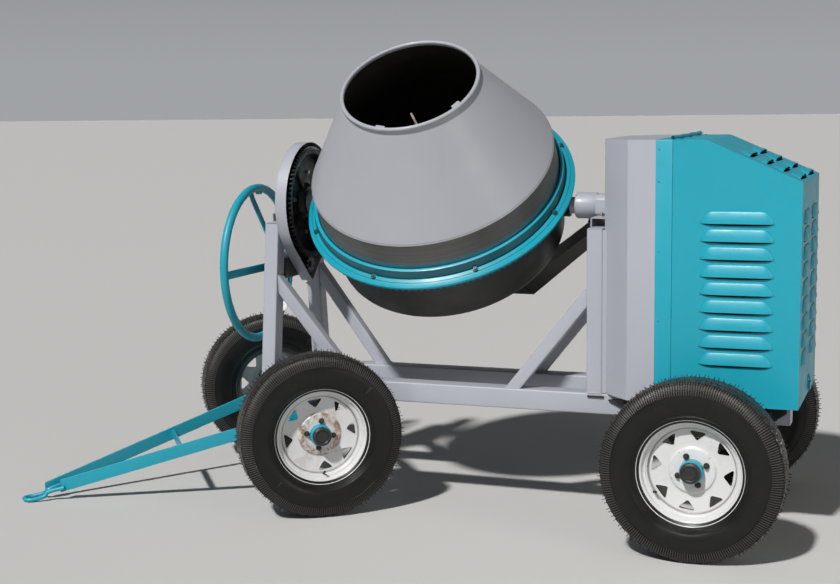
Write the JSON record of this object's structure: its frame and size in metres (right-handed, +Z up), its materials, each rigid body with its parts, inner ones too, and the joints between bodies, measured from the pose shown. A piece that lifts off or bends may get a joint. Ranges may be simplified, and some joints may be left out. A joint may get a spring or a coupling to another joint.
{
  "type": "concrete mixer",
  "caption": "Towable concrete mixer: conical drum in a tilting cradle, toothed drive ring, handwheel and gear for tilting, hooded engine, steered front axle and towing bar.",
  "frame": {"origin": "on the ground, at the middle of the length and width of the machine as parked", "axes": "+X from the towing eye to the engine hood, +Y away from the side to which the drum empties, +Z up"},
  "size_m": [2.9013, 1.2828, 1.743],
  "materials": {
    "grey_paint": "satin light grey paint",
    "teal_paint": "semi-gloss teal paint",
    "black_paint": "satin black paint",
    "white_paint": "gloss white paint with road dirt",
    "cast_iron": "dark, greased",
    "bare_steel": "dull",
    "tyre_rubber": "matt black rubber",
    "belt_rubber": "matt"
  },
  "bodies": {
    "chassis": {"rail_near": "grey_paint", "rail_far": "grey_paint", "front_bolster": "grey_paint", "turntable_plate": "grey_paint", "rear_axle": "black_paint", "left_post_near": "grey_paint", "left_post_far": "grey_paint", "right_post_near": "grey_paint", "right_post_far": "grey_paint", "left_brace_near": "grey_paint", "left_brace_far": "grey_paint", "right_brace_near": "grey_paint", "right_brace_far": "grey_paint", "left_top_beam": "grey_paint", "right_top_beam": "grey_paint", "left_bearing_block": "grey_paint", "right_bearing_block": "grey_paint", "pinion_bearing": "grey_paint", "gear_guard": "grey_paint", "belt_housing": "grey_paint", "engine_bed": "black_paint", "engine_block": "cast_iron", "fuel_tank": "teal_paint", "muffler": "bare_steel", "hood_hinge_pin": "bare_steel", "drive_belt": "belt_rubber"},
    "steered_axle": {"front_axle": "teal_paint", "kingpin": "teal_paint"},
    "towing_bar": {"drawbar_arm_near": "teal_paint", "drawbar_arm_far": "teal_paint", "drawbar_cross": "teal_paint", "towing_eye": "teal_paint"},
    "cradle": {"yoke_frame": "black_paint", "trunnion_left": "grey_paint", "trunnion_right": "grey_paint", "tilt_gear": "cast_iron"},
    "handwheel_shaft": {"handwheel": "teal_paint", "tilt_pinion": "cast_iron"},
    "drum": {"drum_cone": "grey_paint", "drum_bowl": "black_paint", "drum_flange_ring": "teal_paint", "drum_ring_gear": "cast_iron", "mixing_blade_a": "black_paint", "mixing_blade_b": "black_paint"},
    "drive_shaft_set": {"drive_shaft": "cast_iron", "driven_pulley": "cast_iron"},
    "crankshaft": {"engine_pulley": "cast_iron"},
    "engine_hood": {"hood": "teal_paint"},
    "wheel_front_near": {"tyre_front_near": "tyre_rubber", "rim_front_near": "white_paint", "hub_front_near": "teal_paint"},
    "wheel_front_far": {"tyre_front_far": "tyre_rubber", "rim_front_far": "white_paint", "hub_front_far": "teal_paint"},
    "wheel_rear_near": {"tyre_rear_near": "tyre_rubber", "rim_rear_near": "white_paint", "hub_rear_near": "teal_paint"},
    "wheel_rear_far": {"tyre_rear_far": "tyre_rubber", "rim_rear_far": "white_paint", "hub_rear_far": "teal_paint"}
  },
  "joints": [
    {"name": "rear_near_wheel_spin", "type": "hinge", "parent": "chassis", "child": "wheel_rear_near", "pos_m": [1.1321, -0.534, 0.3053], "axis": [0, 1, 0], "continuous": true},
    {"name": "rear_far_wheel_spin", "type": "hinge", "parent": "chassis", "child": "wheel_rear_far", "pos_m": [1.1321, 0.534, 0.3053], "axis": [0, 1, 0], "continuous": true},
    {"name": "steering", "type": "hinge", "parent": "chassis", "child": "steered_axle", "pos_m": [-0.5599, 0, 0.3655], "axis": [0, 0, 1], "range_deg": [-70.4, 0]},
    {"name": "front_near_wheel_spin", "type": "hinge", "parent": "steered_axle", "child": "wheel_front_near", "pos_m": [-0.26477, -0.41838, 0.3053], "axis": [-0.5764, 0.8171, 0], "continuous": true},
    {"name": "front_far_wheel_spin", "type": "hinge", "parent": "steered_axle", "child": "wheel_front_far", "pos_m": [-0.85503, 0.41838, 0.3053], "axis": [-0.5764, 0.8171, 0], "continuous": true},
    {"name": "towing_bar_lift", "type": "hinge", "parent": "steered_axle", "child": "towing_bar", "pos_m": [-0.62119, -0.04323, 0.318], "axis": [-0.5764, 0.8171, 0], "range_deg": [0, 50]},
    {"name": "drum_tilt", "type": "hinge", "parent": "chassis", "child": "cradle", "pos_m": [0.0854, 0, 1.1326], "axis": [1, 0, 0], "range_deg": [-35, 90]},
    {"name": "handwheel_turn", "type": "hinge", "parent": "chassis", "child": "handwheel_shaft", "pos_m": [-0.6229, 0, 0.8848], "axis": [1, 0, 0], "range_deg": [-540, 210]},
    {"name": "drum_spin", "type": "hinge", "parent": "cradle", "child": "drum", "pos_m": [0.0854, 0, 1.1326], "axis": [0, -0.6184, 0.7859], "continuous": true},
    {"name": "drive_shaft_spin", "type": "hinge", "parent": "cradle", "child": "drive_shaft_set", "pos_m": [0.8071, 0, 1.1326], "axis": [1, 0, 0], "continuous": true},
    {"name": "crankshaft_spin", "type": "hinge", "parent": "chassis", "child": "crankshaft", "pos_m": [0.8071, 0, 0.74], "axis": [1, 0, 0], "continuous": true},
    {"name": "hood_lift", "type": "hinge", "parent": "chassis", "child": "engine_hood", "pos_m": [1.0088, 0, 1.388], "axis": [0, -1, 0], "range_deg": [0, 70]}
  ],
  "couplings": [
    {"joint": "handwheel_turn", "follows": "drum_tilt", "ratio": -6},
    {"joint": "drive_shaft_spin", "follows": "drum_spin", "ratio": -12},
    {"joint": "crankshaft_spin", "follows": "drum_spin", "ratio": -34}
  ]
}
